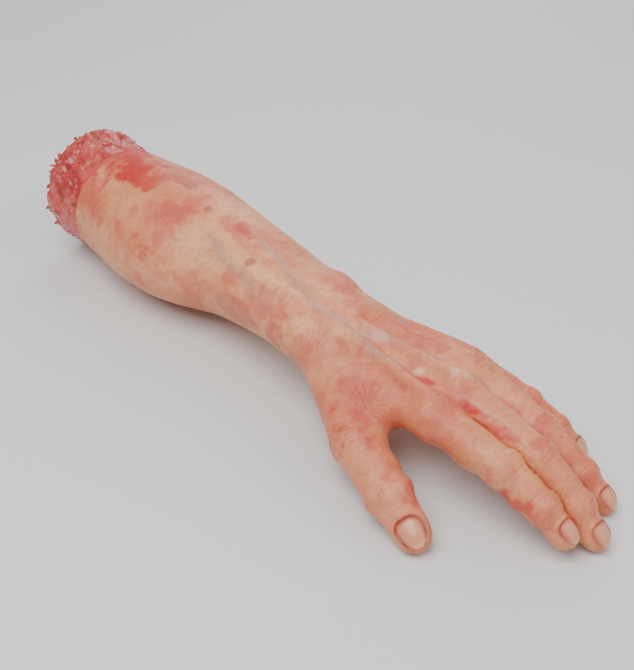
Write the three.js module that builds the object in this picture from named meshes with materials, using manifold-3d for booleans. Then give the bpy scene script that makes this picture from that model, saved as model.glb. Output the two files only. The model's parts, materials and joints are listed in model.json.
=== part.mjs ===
// A life-size left forearm and hand: a film prop cast in silicone over a jointed armature.
// Units are millimetres, +Z is up, +X runs from the cut end to the fingers, and the thumb is on -Y.
// The origin is under the middle of the whole prop, on the surface that it lies on.
import * as THREE from 'three';
import { mergeVertices } from 'three/addons/utils/BufferGeometryUtils.js';
import Module from 'manifold-3d';

const wasm = await Module();
wasm.setup();

// ---- driving dimensions -------------------------------------------------------------------

const GAP = 0.4; // between neighbouring solids
const SIDES = 20; // of each finger sleeve
const HAND_SIDES = 32;
const ARM_SIDES = 36;
const WRIST = { height: 41, ringHalf: 12, centre: 2, halfWidth: 31.2, halfHeight: 21.6 };
const SKIN_WALL = 4.5; // of the hollow forearm casting

// The forearm casting, from the cut edge to the wrist: along X, centre Y, centre Z, half width, half height.
const FOREARM = [
  [-212, 8.3, 38.5, 39.2, 38.7],
  [-188, 9.5, 38.5, 39.7, 39],
  [-158, 9.8, 39, 41.4, 39.4],
  [-134, 10, 39, 40.9, 38.4],
  [-110, 10, 39, 38, 34.6],
  [-86, 9.4, 39.5, 35.8, 30.5],
  [-62, 7.8, 40.2, 34.3, 27],
  [-38, 5.8, 40.8, 32.9, 24],
  [-12.4, 3.5, 41, 32.2, 22.4],
];

// The palm casting, in the hand's frame: along X, centre Y, centre Z, half width, half height.
const PALM = [
  [8, 1.5, 0, 31, 21],
  [26, -0.5, -1, 31, 19.5],
  [46, -0.5, -1.5, 32.5, 17.5],
  [66, -0.5, -0.5, 32, 15.5],
  [78, -5, 1, 26.5, 13],
];
const STUMP = { root: -46, swell: -24 }; // of each digit in the palm, back from its knuckle
const THENAR = { start: [10, -17, -6], halfWidths: [14, 17, 14.5], flatness: 0.88 };

// Wound: a plug that fills the cut end and stands proud of the skin's edge.
const WOUND = {
  plugEnd: -203,
  face: -246,
  z: 41,
  dish: 9,
  rimRadius: 37,
  flareRadius: 40.7,
  shoulderRadius: 38,
};
const BONES = {
  radius_bone: { y: -8, z: 46, radius: 9, marrow: 5.5, tip: -243 },
  ulna_bone: { y: 24, z: 35, radius: 7.5, marrow: 4.2, tip: -240 },
};
const BONE_END = -186;

// Armature. A link is a tongue, a block and a fork; the fork's ears hold the next link's tongue on a pin.
const FINGER_HARDWARE = { height: 7, width: 7, tongue: 2.8, pinRadius: 1.2 };
const WRIST_HARDWARE = { height: 14, width: 14, tongue: 6, pinRadius: 2.5 };
const PIN_PLAY = 0.2;
const ROD = { radius: 4, start: -178, forkLength: 27 };
const BLOCK = { start: 7.9, end: 30, width: 26, height: 9 };
const STRUT = { radius: 2.6, spread: 0.3, limit: 9 }; // from the block to a knuckle's fork
const KNUCKLE_FORK = 13;

// Fingers, in the hand's frame. Bends are the cast pose in degrees, lengths run from hinge to hinge,
// and girths are half widths at the three hinges and the fingertip. flex is each hinge's curl, which
// sets the notch between two sleeves.
const HAND_YAW = 3;
const FLEX = [30, 45, 30];
const EXTEND = [10, 5, 5];
const FINGERS = {
  index: {
    knuckle: [92, -25.5, 3],
    splay: 2,
    bends: [14, 11, 8],
    lengths: [44, 25, 23],
    girths: [9.5, 8.8, 7.7, 7],
  },
  middle: {
    knuckle: [93, -4, 5],
    splay: -2.5,
    bends: [14, 17, 9],
    lengths: [50, 30, 23.5],
    girths: [9.5, 8.9, 7.8, 7],
  },
  ring: {
    knuckle: [86, 16, 3],
    splay: 1,
    bends: [18, 10, 6],
    lengths: [46, 29, 24],
    girths: [8.8, 8.8, 7.7, 7],
  },
  little: {
    knuckle: [75, 32.5, -6.5],
    splay: 10,
    bends: [18, 10, 4.5],
    lengths: [35, 20, 22],
    girths: [7.6, 7.4, 6.9, 6.2],
  },
};
const FINGER_FLATNESS = 1.03; // half height over half width
const THUMB = {
  knuckle: [62.5, -47.5, -18],
  yaw: -23.5,
  pitch: 8.8,
  roll: 30,
  bends: [0, 14],
  lengths: [36, 32],
  girths: [11.5, 12.6, 11],
  flatness: 0.76,
  flex: [30, 45],
  extend: [10, 5],
};
const NAIL = { length: 12, thickness: 0.9, girth: 0.975, tilt: 7, arc: 50, place: 0.66, pocket: 0.3 };
const NOTCH_EASE = 1.3; // how much wider a notch is than its hinge's turn needs
const TIP_LINK = 0.6; // of the last link, as a share of the fingertip's length
const LARGE = 600; // wider than the whole prop, for the solids that only cut

// ---- materials ----------------------------------------------------------------------------

function material(color, roughness, metalness = 0) {
  return new THREE.MeshStandardMaterial({ color, roughness, metalness });
}

const SKIN = material(0xe0a587, 0.55);
const FLESH = material(0xa8231c, 0.35);
const BONE = material(0xe6d7b4, 0.6);
const FOAM = material(0xe9dfae, 0.95);
const STEEL = material(0x9a9da1, 0.35, 1);
const ACRYLIC = material(0xe9bfa6, 0.3);

// ---- solids -------------------------------------------------------------------------------

// A closed three.js geometry as a manifold-3d solid.
function solid(geometry) {
  const bare = geometry.clone();
  bare.deleteAttribute('normal');
  bare.deleteAttribute('uv');
  const merged = mergeVertices(bare, 1e-4);
  const vertProperties = merged.attributes.position.array;
  const triVerts = new Uint32Array(merged.index.array);
  return new wasm.Manifold(new wasm.Mesh({ numProp: 3, vertProperties, triVerts }));
}

// A manifold-3d solid back as a three.js geometry with flat faces.
function geometryOf(body) {
  const { vertProperties, triVerts } = body.getMesh();
  const indexed = new THREE.BufferGeometry();
  indexed.setAttribute('position', new THREE.BufferAttribute(vertProperties, 3));
  indexed.setIndex(new THREE.BufferAttribute(triVerts, 1));
  const flat = indexed.toNonIndexed();
  flat.computeVertexNormals();
  return flat;
}

// A box from x0 to x1, centred on the X axis.
function box(x0, x1, width, height) {
  return solid(new THREE.BoxGeometry(x1 - x0, width, height).translate((x0 + x1) / 2, 0, 0));
}

// A cylinder along Y through the X axis.
function crossPin(x, radius, length, sides = 16) {
  return solid(new THREE.CylinderGeometry(radius, radius, length, sides).translate(x, 0, 0));
}

// A cylinder along X from start to end.
function lengthwise(radius, start, end, y, z, sides = 24) {
  const cylinder = new THREE.CylinderGeometry(radius, radius, end - start, sides);
  return solid(cylinder.rotateZ(Math.PI / 2).translate((start + end) / 2, y, z));
}

const union = (bodies) => bodies.reduce((joined, body) => joined.add(body));
const moved = (body, matrix) => body.transform(matrix.elements);

// A tube of elliptical rings along X with closed ends. Each ring is {x, y, z, a, b, tilt}: its centre, half
// width and half height, and how far it leans along X for each millimetre of height.
function loft(rings, sides = SIDES) {
  const tube = new THREE.CylinderGeometry(1, 1, 1, sides, rings.length - 1);
  const position = tube.attributes.position;
  for (let i = 0; i < position.count; i++) {
    const ring = Math.round((0.5 - position.getY(i)) * (rings.length - 1));
    const { x, y = 0, z = 0, a, b, tilt = 0 } = rings[ring];
    const across = position.getX(i) * a;
    const up = position.getZ(i) * b;
    position.setXYZ(i, x + tilt * up, y + across, z + up);
  }
  const body = solid(tube);
  return body.volume() > 0 ? body : solid(flipped(tube));
}

// The same geometry with its faces turned round.
function flipped(geometry) {
  const index = geometry.index.array;
  for (let i = 0; i < index.length; i += 3) [index[i + 1], index[i + 2]] = [index[i + 2], index[i + 1]];
  return geometry;
}

// A round strut between two points.
function strut(from, to, radius) {
  const start = new THREE.Vector3(...from);
  const along = new THREE.Vector3(...to).sub(start);
  const length = along.length();
  const turn = new THREE.Quaternion().setFromUnitVectors(new THREE.Vector3(0, 1, 0), along.normalize());
  const cylinder = new THREE.CylinderGeometry(radius, radius, length, 8).translate(0, length / 2, 0);
  return solid(cylinder.applyQuaternion(turn).translate(...from));
}

// ---- armature -----------------------------------------------------------------------------

// A flat bar in the XZ plane with a pin hole at x = eye and a round end beyond it.
function eyeBar(eye, root, hardware, thickness, y) {
  const half = hardware.height / 2;
  const out = Math.sign(eye - root);
  const outline = new THREE.Shape();
  outline.moveTo(root, -half);
  outline.lineTo(eye, -half);
  outline.absarc(eye, 0, half, -Math.PI / 2, Math.PI / 2, out < 0);
  outline.lineTo(root, half);
  outline.closePath();
  outline.holes.push(new THREE.Path().absarc(eye, 0, hardware.pinRadius + PIN_PLAY, 0, 2 * Math.PI, out > 0));
  const bar = new THREE.ExtrudeGeometry(outline, { depth: thickness, bevelEnabled: false, curveSegments: 8 });
  return solid(bar.rotateX(Math.PI / 2).translate(0, y + thickness / 2, 0));
}

const tongueAt = (eye, root, hardware) => eyeBar(eye, root, hardware, hardware.tongue, 0);

function forkAt(eye, root, hardware) {
  const ear = (hardware.width - hardware.tongue) / 2 - GAP;
  const offset = (hardware.width - ear) / 2;
  return eyeBar(eye, root, hardware, ear, offset).add(eyeBar(eye, root, hardware, ear, -offset));
}

// A link with its tongue's eye at x = 0 and its fork's eye at x = length; a tip link has no fork.
function link(length, hardware, hasFork) {
  const { height, width } = hardware;
  const shoulder = height / 2 + GAP;
  const blockEnd = hasFork ? length - shoulder : length;
  const pieces = [tongueAt(0, shoulder + 2, hardware), box(shoulder, blockEnd, width, height)];
  if (hasFork) pieces.push(forkAt(length, blockEnd - 2, hardware));
  return union(pieces);
}

// ---- silicone sleeves ---------------------------------------------------------------------

// How far a sleeve's end stays from the hinge on the back and on the palm side, so that it can curl.
// A turn is {bend, flex, extend}: the cast bend, and how far the hinge curls and opens from there.
function notch(halfHeight, { bend, flex, extend }) {
  const reach = (angle) => NOTCH_EASE * halfHeight * Math.tan(THREE.MathUtils.degToRad(angle / 2)) + GAP;
  return { back: reach(extend), palm: reach(bend + flex) };
}

// A ring that leans with the notch: sign is +1 beyond the hinge at x and -1 before it.
function notchedRing(x, sign, a, b, turn) {
  const { back, palm } = notch(b, turn);
  return { x: x + (sign * (back + palm)) / 2, a, b, tilt: (sign * (back - palm)) / (2 * b) };
}

// The channel that a link needs in its sleeve, with round relief at the hinges for the turning ears.
function channel(from, to, eyes) {
  const { height, width } = FINGER_HARDWARE;
  const reliefs = eyes.map((eye) => crossPin(eye, height / 2 + 3 * GAP, width + 2 * GAP));
  return union([box(from, to, width + 2 * GAP, height + 2 * GAP), ...reliefs]);
}

// The sleeve round one link, from hinge to hinge, waisted in the middle.
function sleeve(length, startGirth, endGirth, flatness, startTurn, endTurn) {
  const waist = 0.95 * 0.5 * (startGirth + endGirth);
  const rings = [
    notchedRing(0, 1, startGirth, startGirth * flatness, startTurn),
    { x: 0.38 * length, a: waist, b: waist * flatness },
    { x: 0.62 * length, a: waist, b: waist * flatness },
    notchedRing(length, -1, endGirth, endGirth * flatness, endTurn),
  ];
  return loft(rings).subtract(channel(-10, length + 10, [0, length]));
}

// A nail is a curved plate with round ends. grow makes the pocket that it sits in, open at the top.
function nailPlate(tipGirth, grow = 0) {
  const girth = tipGirth * NAIL.girth;
  const face = girth * 1.02;
  const outer = face + 10 * grow;
  const inner = face - NAIL.thickness - grow;
  const half = THREE.MathUtils.degToRad(NAIL.arc) + grow / girth;
  const arc = new THREE.Shape();
  arc.absarc(0, 0, outer, Math.PI / 2 - half, Math.PI / 2 + half, false);
  arc.absarc(0, 0, inner, Math.PI / 2 + half, Math.PI / 2 - half, true);
  const length = NAIL.length + 2 * grow;
  const plate = new THREE.ExtrudeGeometry(arc, { depth: length, bevelEnabled: false, curveSegments: 10 });
  plate.rotateX(Math.PI / 2).rotateZ(Math.PI / 2);
  const halfWidth = face * Math.sin(half) + grow;
  const outline = new THREE.CylinderGeometry(1, 1, 3 * girth, 20).rotateX(Math.PI / 2);
  outline.scale(length / 2, halfWidth, 1);
  const centred = solid(plate).translate(-length / 2, 0, 0);
  return centred.intersect(solid(outline).add(box(0, length / 2, 1.7 * halfWidth, 3 * girth)));
}

// A nail's place on a fingertip: over its outer half, leaning down towards the tip.
function nailMatrix(length, girth, flatness) {
  const lean = new THREE.Matrix4().makeRotationY(THREE.MathUtils.degToRad(NAIL.tilt));
  const sink = girth * (flatness - 1.04) - 0.2;
  return new THREE.Matrix4().makeTranslation(NAIL.place * length, 0, sink).multiply(lean);
}

// The sleeve of the last link: a blunt dome with a pocket for the nail.
function fingertip(length, startGirth, endGirth, flatness, startTurn) {
  const rings = [notchedRing(0, 1, startGirth, startGirth * flatness, startTurn)];
  rings.push({ x: 0.4 * length, a: endGirth * 1.06, b: endGirth * flatness * 1.04 });
  const domeStart = 0.62 * length;
  for (const angle of [0, 25, 48, 66, 80]) {
    const [cos, sin] = [Math.cos, Math.sin].map((f) => f(THREE.MathUtils.degToRad(angle)));
    const x = domeStart + sin * (length - domeStart);
    rings.push({ x, a: endGirth * cos, b: endGirth * flatness * cos });
  }
  const body = loft(rings).subtract(channel(-10, TIP_LINK * length + GAP, [0]));
  return body.subtract(moved(nailPlate(endGirth, NAIL.pocket), nailMatrix(length, endGirth, flatness)));
}

// ---- assembly -----------------------------------------------------------------------------

const arm = new THREE.Group();

function addMesh(parent, name, body, look) {
  const mesh = new THREE.Mesh(geometryOf(body), look);
  mesh.name = name;
  parent.add(mesh);
  return mesh;
}

function addGroup(parent, name, place, [roll, pitch, yaw]) {
  const group = new THREE.Group();
  group.name = name;
  group.position.set(...place);
  group.rotation.set(...[roll, pitch, yaw].map(THREE.MathUtils.degToRad), 'ZYX');
  parent.add(group);
  return group;
}

const hingePin = (hardware) => crossPin(0, hardware.pinRadius, hardware.width, 12);

// A digit is a chain of groups, one at each hinge, with the hinge along the group's Y.
function addDigit(name, digit, turns, flatness) {
  const names = turns.length === 3 ? ['proximal', 'middle', 'tip'] : ['proximal', 'tip'];
  const pins = turns.length === 3 ? ['knuckle', 'middle', 'end'] : ['knuckle', 'end'];
  const { bends, lengths, girths } = digit;
  let parent = digit.base;
  names.forEach((part, i) => {
    const isTip = i === names.length - 1;
    const hinge = i ? [lengths[i - 1], 0, 0] : [0, 0, 0];
    const group = addGroup(parent, `${name}_${pins[i]}_hinge`, hinge, [0, bends[i], 0]);
    const linkLength = isTip ? TIP_LINK * lengths[i] : lengths[i];
    addMesh(group, `${name}_${part}_link`, link(linkLength, FINGER_HARDWARE, !isTip), STEEL);
    const skin = isTip
      ? fingertip(lengths[i], girths[i], girths[i + 1], flatness, turns[i])
      : sleeve(lengths[i], girths[i], girths[i + 1], flatness, turns[i], turns[i + 1]);
    addMesh(group, `${name}_${part}_skin`, skin, SKIN);
    addMesh(parent, `${name}_${pins[i]}_pin`, hingePin(FINGER_HARDWARE), STEEL).position.copy(group.position);
    if (isTip) {
      const nail = moved(nailPlate(girths[i + 1]), nailMatrix(lengths[i], girths[i + 1], flatness));
      addMesh(group, `${name}_nail`, nail, ACRYLIC);
    }
    parent = group;
  });
}

// Where a digit leaves the hand: a group at its knuckle that points along the digit before it bends.
function digitBase(hand, name, digit) {
  const { knuckle, splay, yaw = splay, pitch = 0, roll = 0 } = digit;
  digit.base = addGroup(hand, `${name}_base`, knuckle, [roll, pitch, yaw]);
  digit.base.updateMatrix();
  return digit.base.matrix;
}

// The palm frame joins the wrist's tongue to a fork at each knuckle. grow makes the cavity for it.
function palmFrame(placed, grow) {
  const { width, height } = FINGER_HARDWARE;
  const back = -KNUCKLE_FORK - grow;
  const shoulder = -height / 2 - GAP;
  const [blockStart, blockEnd] = [BLOCK.start - 2 * grow, BLOCK.end + grow];
  const pieces = [box(blockStart, blockEnd, BLOCK.width + 2 * grow, BLOCK.height + 2 * grow)];
  for (const { matrix, digit } of placed) {
    const heel = new THREE.Vector3(back + 3, 0, 0).applyMatrix4(matrix);
    const side = THREE.MathUtils.clamp(digit.knuckle[1] * STRUT.spread, -STRUT.limit, STRUT.limit);
    const root = [BLOCK.end - 6, side, 0];
    pieces.push(strut(root, heel.toArray(), STRUT.radius + grow));
    if (grow) pieces.push(moved(channel(back, 10, [0]), matrix));
    else {
      pieces.push(moved(box(back, shoulder, width, height), matrix));
      pieces.push(moved(forkAt(0, shoulder - 2, FINGER_HARDWARE), matrix));
    }
  }
  if (!grow) pieces.push(tongueAt(0, BLOCK.start + 3, WRIST_HARDWARE));
  return union(pieces);
}

// The hand's casting: the palm, the ball of the thumb and a stump for each digit up to its knuckle.
function handSkin(placed) {
  const palm = loft(PALM.map(([x, y, z, a, b]) => ({ x, y, z, a, b })), HAND_SIDES);
  const stumps = placed.map(({ matrix, digit, turn, flatness }) => {
    const girth = digit.girths[0];
    const rings = [
      { x: STUMP.root, a: girth * 0.75, b: girth * 0.8 },
      { x: STUMP.swell, a: girth, b: girth * 1.12 },
      notchedRing(0, -1, girth, girth * flatness, turn),
    ];
    return moved(loft(rings), matrix);
  });
  const { start, halfWidths, flatness } = THENAR;
  const end = new THREE.Vector3(-10, 0, 0).applyMatrix4(placed.find(({ digit }) => digit === THUMB).matrix);
  const ball = loft(
    halfWidths.map((a, i) => {
      const { x, y, z } = new THREE.Vector3(...start).lerp(end, i / (halfWidths.length - 1));
      return { x, y, z, a, b: a * flatness };
    }),
  );
  const clear = box(-LARGE, WRIST.ringHalf + GAP, LARGE, LARGE).rotate([0, 0, -HAND_YAW]);
  return union([palm, ball, ...stumps]).subtract(clear).subtract(palmFrame(placed, GAP));
}

function addHand(parent) {
  const hand = addGroup(parent, 'wrist_hinge', [0, 0, WRIST.height], [0, 0, HAND_YAW]);
  const place = (name, digit, flexes, extensions, flatness) => {
    const turns = flexes.map((flex, i) => ({ bend: digit.bends[i], flex, extend: extensions[i] }));
    return { name, digit, turns, turn: turns[0], flatness, matrix: digitBase(hand, name, digit) };
  };
  const fingers = Object.entries(FINGERS);
  const placed = fingers.map(([name, digit]) => place(name, digit, FLEX, EXTEND, FINGER_FLATNESS));
  placed.push(place('thumb', THUMB, THUMB.flex, THUMB.extend, THUMB.flatness));
  addMesh(hand, 'palm_frame', palmFrame(placed, 0), STEEL);
  addMesh(hand, 'hand_skin', handSkin(placed), SKIN);
  for (const { name, digit, turns, flatness } of placed) addDigit(name, digit, turns, flatness);
}

// The forearm's rings, made smaller by inset on every side.
const forearmRings = (inset) => FOREARM.map(([x, y, z, a, b]) => ({ x, y, z, a: a - inset, b: b - inset }));

function addForearm(parent) {
  const outer = loft(forearmRings(0), ARM_SIDES);
  const bore = loft(forearmRings(SKIN_WALL), ARM_SIDES);
  const longBore = bore.add(bore.translate(-1, 0, 0)).add(bore.translate(1, 0, 0));
  const table = solid(new THREE.BoxGeometry(LARGE, LARGE, LARGE).translate(0, 0, -LARGE / 2));
  addMesh(parent, 'forearm_skin', outer.subtract(longBore).subtract(table), SKIN);

  const { height, width } = WRIST_HARDWARE;
  const forkRoot = -height / 2 - GAP;
  const fork = forkAt(0, -height, WRIST_HARDWARE).add(box(-ROD.forkLength, forkRoot, width, height));
  const rod = lengthwise(ROD.radius, ROD.start, 6 - ROD.forkLength, 0, 0, 16).add(fork);
  addMesh(parent, 'armature_rod', rod, STEEL).position.z = WRIST.height;
  addMesh(parent, 'wrist_pin', hingePin(WRIST_HARDWARE), STEEL).position.z = WRIST.height;

  for (const [name, bone] of Object.entries(BONES)) addBone(parent, name, bone);
  const boneBores = union(
    Object.values(BONES).map(({ y, z, radius }) => lengthwise(radius + GAP, -LARGE, BONE_END + GAP, y, z)),
  );
  const rodBore = lengthwise(ROD.radius + GAP, ROD.start - GAP, 0, 0, WRIST.height);
  const coreSpan = box(WOUND.plugEnd + GAP, -ROD.forkLength - 1, LARGE, LARGE);
  const core = loft(forearmRings(SKIN_WALL + GAP), ARM_SIDES).intersect(coreSpan);
  addMesh(parent, 'foam_core', core.subtract(boneBores).subtract(rodBore), FOAM);
  addMesh(parent, 'wound_flesh', woundFlesh().subtract(boneBores), FLESH);

  const { ringHalf, centre: y, height: z, halfWidth, halfHeight } = WRIST;
  const ring = (half, inset) =>
    loft([-half, 0, half].map((x) => ({ x, y, z, a: halfWidth - inset, b: halfHeight - inset })), HAND_SIDES);
  const cuff = ring(ringHalf, 0).subtract(ring(ringHalf + 5, SKIN_WALL));
  addMesh(parent, 'wrist_skin', cuff, SKIN);
}

// A sawn bone end with a marrow hollow in its face.
function addBone(parent, name, bone) {
  const { y, z, radius, marrow, tip } = bone;
  const profile = [
    [0, BONE_END],
    [radius, BONE_END],
    [radius, tip + 1],
    [radius - 1, tip],
    [marrow + 0.6, tip],
    [marrow, tip + 1.5],
    [marrow * 0.8, tip + 7],
    [0, tip + 8],
  ].map(([r, along]) => new THREE.Vector2(r, along));
  const turned = new THREE.LatheGeometry(profile, 24);
  turned.rotateZ(-Math.PI / 2).translate(0, y, z);
  const body = solid(turned);
  addMesh(parent, name, body.volume() > 0 ? body : solid(flipped(turned)), BONE);
}

// The wound plug: a spigot in the skin's bore, a shoulder against its edge and a dished, torn face.
function woundFlesh() {
  const [edge, y, z, halfWidth] = FOREARM[0];
  const spigot = halfWidth - SKIN_WALL - 2 * GAP;
  const ring = (x, radius, height = z) => ({ x, y, z: height, a: radius, b: radius });
  const shoulder = edge - GAP;
  const rim = [
    ring(WOUND.face + WOUND.dish, WOUND.rimRadius * 0.35, WOUND.z),
    ring(WOUND.face + 0.4 * WOUND.dish, WOUND.rimRadius * 0.8, WOUND.z),
    ring(WOUND.face, WOUND.rimRadius, WOUND.z),
    ring(WOUND.face + 5, WOUND.flareRadius, WOUND.z),
    ring(shoulder - 8, WOUND.shoulderRadius),
    ring(shoulder, WOUND.shoulderRadius),
    ring(shoulder + 0.01, spigot),
    ring(WOUND.plugEnd - GAP, spigot),
  ];
  return loft(rim, ARM_SIDES);
}

addForearm(arm);
addHand(arm);

// Centre the prop on its own box.
arm.updateMatrixWorld(true);
const bounds = new THREE.Box3().setFromObject(arm, true);
const middle = bounds.getCenter(new THREE.Vector3());
arm.position.set(-middle.x, -middle.y, -bounds.min.z);

export default arm;
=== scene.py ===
"""Looks of a severed forearm and hand prop: a silicone skin over a jointed armature, with acrylic nails.

The skin is one implicit surface, blended from rounded limbs and lumps that follow the armature's hinges.
It is meshed once, given its creases, and cut into pieces, of which the forearm's and hand's ride on their CAD
bodies.
Lengths in this file are millimetres unless a name says metres.
"""

import json
import math

import bpy
import numpy as np
import openvdb
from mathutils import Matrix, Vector


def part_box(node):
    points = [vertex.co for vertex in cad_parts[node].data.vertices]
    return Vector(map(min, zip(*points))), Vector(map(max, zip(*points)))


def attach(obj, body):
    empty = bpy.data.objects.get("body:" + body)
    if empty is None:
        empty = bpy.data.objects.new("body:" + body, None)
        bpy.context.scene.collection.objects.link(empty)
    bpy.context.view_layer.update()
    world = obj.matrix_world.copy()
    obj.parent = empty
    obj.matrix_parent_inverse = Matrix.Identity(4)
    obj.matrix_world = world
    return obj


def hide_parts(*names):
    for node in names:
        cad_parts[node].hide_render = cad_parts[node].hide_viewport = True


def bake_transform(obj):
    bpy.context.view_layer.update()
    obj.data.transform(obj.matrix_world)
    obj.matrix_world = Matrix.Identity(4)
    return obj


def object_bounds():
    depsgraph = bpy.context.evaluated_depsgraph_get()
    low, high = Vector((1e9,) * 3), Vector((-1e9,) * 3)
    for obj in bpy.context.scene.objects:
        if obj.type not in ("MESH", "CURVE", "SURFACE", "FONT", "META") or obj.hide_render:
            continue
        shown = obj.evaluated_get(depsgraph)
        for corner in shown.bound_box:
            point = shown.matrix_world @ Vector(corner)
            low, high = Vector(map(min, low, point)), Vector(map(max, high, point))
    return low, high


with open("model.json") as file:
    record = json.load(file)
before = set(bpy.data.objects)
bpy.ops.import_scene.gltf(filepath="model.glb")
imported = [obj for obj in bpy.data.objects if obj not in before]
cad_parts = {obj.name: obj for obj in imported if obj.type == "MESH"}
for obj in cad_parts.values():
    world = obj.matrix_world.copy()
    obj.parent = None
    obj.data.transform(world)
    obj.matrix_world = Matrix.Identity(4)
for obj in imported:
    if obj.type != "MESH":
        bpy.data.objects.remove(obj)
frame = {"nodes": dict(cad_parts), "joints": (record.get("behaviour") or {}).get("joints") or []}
cad_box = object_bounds()

MM = 0.001
STEP = 0.7  # grid spacing
BAND = 2.5 * STEP  # distances further from the surface than this are clipped
FAR = 50.0  # the distance in cells that nothing has been added to
BEYOND = 999  # further than any grid reaches
RNG = np.random.default_rng(7)


# ---- places from the frame ----------------------------------------------------------------

END_TOLERANCE = 0.4  # vertices this near to the furthest one count as furthest too


def joint(name):
    """(hinge point, unit axis) of a joint, in millimetres."""
    entry = next(j for j in frame["joints"] if j["name"] == name)
    return np.array(entry["pos_m"]) / MM, np.array(entry["axis"])


def far_point(node, start):
    """The middle of a node's vertices that are furthest from start."""
    mesh = frame["nodes"][node].data
    points = np.array([v.co for v in mesh.vertices]) / MM
    reach = np.linalg.norm(points - start, axis=1)
    return points[reach > reach.max() - END_TOLERANCE].mean(axis=0)


def unit(v):
    return v / np.linalg.norm(v)


class Limb:
    """One straight length between two points, with its own along, side and up directions."""

    def __init__(self, start, end, side):
        self.start, self.end = start, end
        self.length = np.linalg.norm(end - start)
        self.along = unit(end - start)
        self.up = unit(np.cross(self.along, side))
        self.side = np.cross(self.up, self.along)

    def local(self, points):
        """Points as (along, side, up) from the limb's start."""
        return (points - self.start) @ np.array([self.along, self.side, self.up]).T

    def place(self, along, side=0.0, up=0.0):
        """A local point in the row frame."""
        return self.start + along * self.along + side * self.side + up * self.up


def digit_limbs(name, joint_names):
    hinges = [joint(f"{name}_{j}") for j in joint_names]
    points = [point for point, axis in hinges]
    points.append(far_point(f"{name}_tip_skin", points[-1]))
    return [Limb(a, b, hinges[0][1]) for a, b in zip(points, points[1:])]


WRIST, WRIST_AXIS = joint("wrist")
FINGER_NAMES = ["index", "middle", "ring", "little"]
DIGITS = {name: digit_limbs(name, ["knuckle", "middle_joint", "end_joint"]) for name in FINGER_NAMES}
DIGITS["thumb"] = digit_limbs("thumb", ["knuckle", "end_joint"])
HAND = Limb(WRIST, WRIST + 100 * unit(np.cross(WRIST_AXIS, [0, 0, 1])), WRIST_AXIS)

# Half widths of each digit at its hinges and its tip, and its height as a share of its width.
GIRTHS = {
    "index": [11.2, 9.9, 8.6, 7.4],
    "middle": [11.2, 9.9, 8.7, 7.5],
    "ring": [10.8, 9.3, 8.2, 7.2],
    "little": [9.2, 8.0, 7.2, 6.3],
    "thumb": [12.8, 12.0, 9.3],
}
FLATNESS = {"index": 0.96, "middle": 0.96, "ring": 0.96, "little": 0.97, "thumb": 0.8}

# The forearm's sections from the wrist's hinge: along X, centre Y, centre Z, half width, half height.
FOREARM = np.array(
    [
        [-226, 8.0, 38.5, 39.0, 38.4],
        [-206, 8.8, 38.4, 39.0, 38.6],
        [-188, 9.5, 38.5, 39.5, 38.8],
        [-158, 9.8, 39.0, 41.2, 39.2],
        [-134, 10.0, 39.0, 40.7, 38.2],
        [-110, 10.0, 39.0, 38.0, 34.6],
        [-86, 9.2, 39.5, 35.6, 30.4],
        [-62, 7.6, 40.2, 34.0, 26.8],
        [-38, 5.2, 40.8, 32.2, 23.6],
        [-15, 3.2, 41.0, 31.2, 22.0],
        [6, 1.5, 41.0, 30.2, 20.6],
        [24, 0.5, 40.5, 29.0, 19.0],
    ]
)
SKIN_EDGE = -212  # where the skin is torn, from the wrist's hinge
WOUND_FACE = -246


# ---- noise --------------------------------------------------------------------------------

LATTICE_SIZE = 32
LATTICE = RNG.random([LATTICE_SIZE] * 3).astype(np.float32)


def value_noise(points, size, shift=0.0):
    """Smooth noise from 0 to 1 with features of about that size."""
    p = points / size + 7.3 + shift
    cell = np.floor(p).astype(int)
    f = p - cell
    f = f * f * (3 - 2 * f)
    total = 0
    for corner in np.ndindex(2, 2, 2):
        weight = np.prod([f[:, a] if c else 1 - f[:, a] for a, c in enumerate(corner)], axis=0)
        i, j, k = ((cell + corner) % LATTICE_SIZE).T
        total = total + weight * LATTICE[i, j, k]
    return total


def fractal(points, size, octaves=3, shift=0.0):
    """Layered noise around 0, about -1 to 1."""
    total, scale = 0, 1.0
    for octave in range(octaves):
        total = total + scale * (2 * value_noise(points, size * 0.5**octave, shift + 5.1 * octave) - 1)
        scale *= 0.55
    return total


# ---- implicit shapes ----------------------------------------------------------------------


class Field:
    """Signed distances on a grid, negative inside."""

    def __init__(self, low, high, step=STEP):
        self.step = step
        self.low = np.array(low, float)
        self.shape = np.ceil((np.array(high) - self.low) / step).astype(int)
        self.d = np.full(self.shape, FAR, np.float32)

    def window(self, low, high):
        """The slices and open coordinate arrays of the cells between two corners."""
        a = np.clip(np.floor((np.array(low) - self.low) / self.step).astype(int), 0, self.shape - 1)
        b = np.clip(np.ceil((np.array(high) - self.low) / self.step).astype(int) + 1, a + 1, self.shape)
        axes = [(self.low[i] + self.step * np.arange(a[i], b[i])).astype(np.float32) for i in range(3)]
        return tuple(slice(a[i], b[i]) for i in range(3)), np.meshgrid(*axes, indexing="ij", sparse=True)

    def whole(self):
        """The slices and coordinate arrays of the whole grid."""
        return self.window(self.low, self.low + self.shape * self.step)

    def add(self, d, where, blend):
        self.d[where] = smooth_min(self.d[where], d, blend)

    def carve(self, d, where, blend):
        self.d[where] = -smooth_min(-self.d[where], d, blend)

    def mesh(self):
        """(vertices, quads) of the surface."""
        clipped = np.clip(self.d, -BAND, BAND)
        grid = openvdb.FloatGrid(BAND)
        grid.copyFromArray(clipped)
        points, quads = grid.convertToQuads(isovalue=0.0)
        return points * self.step + self.low, quads.astype(int)


def smooth_min(a, b, blend):
    if blend <= 0:
        return np.minimum(a, b)
    h = np.clip(0.5 + 0.5 * (b - a) / blend, 0, 1)
    return b + (a - b) * h - blend * h * (1 - h)


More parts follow.
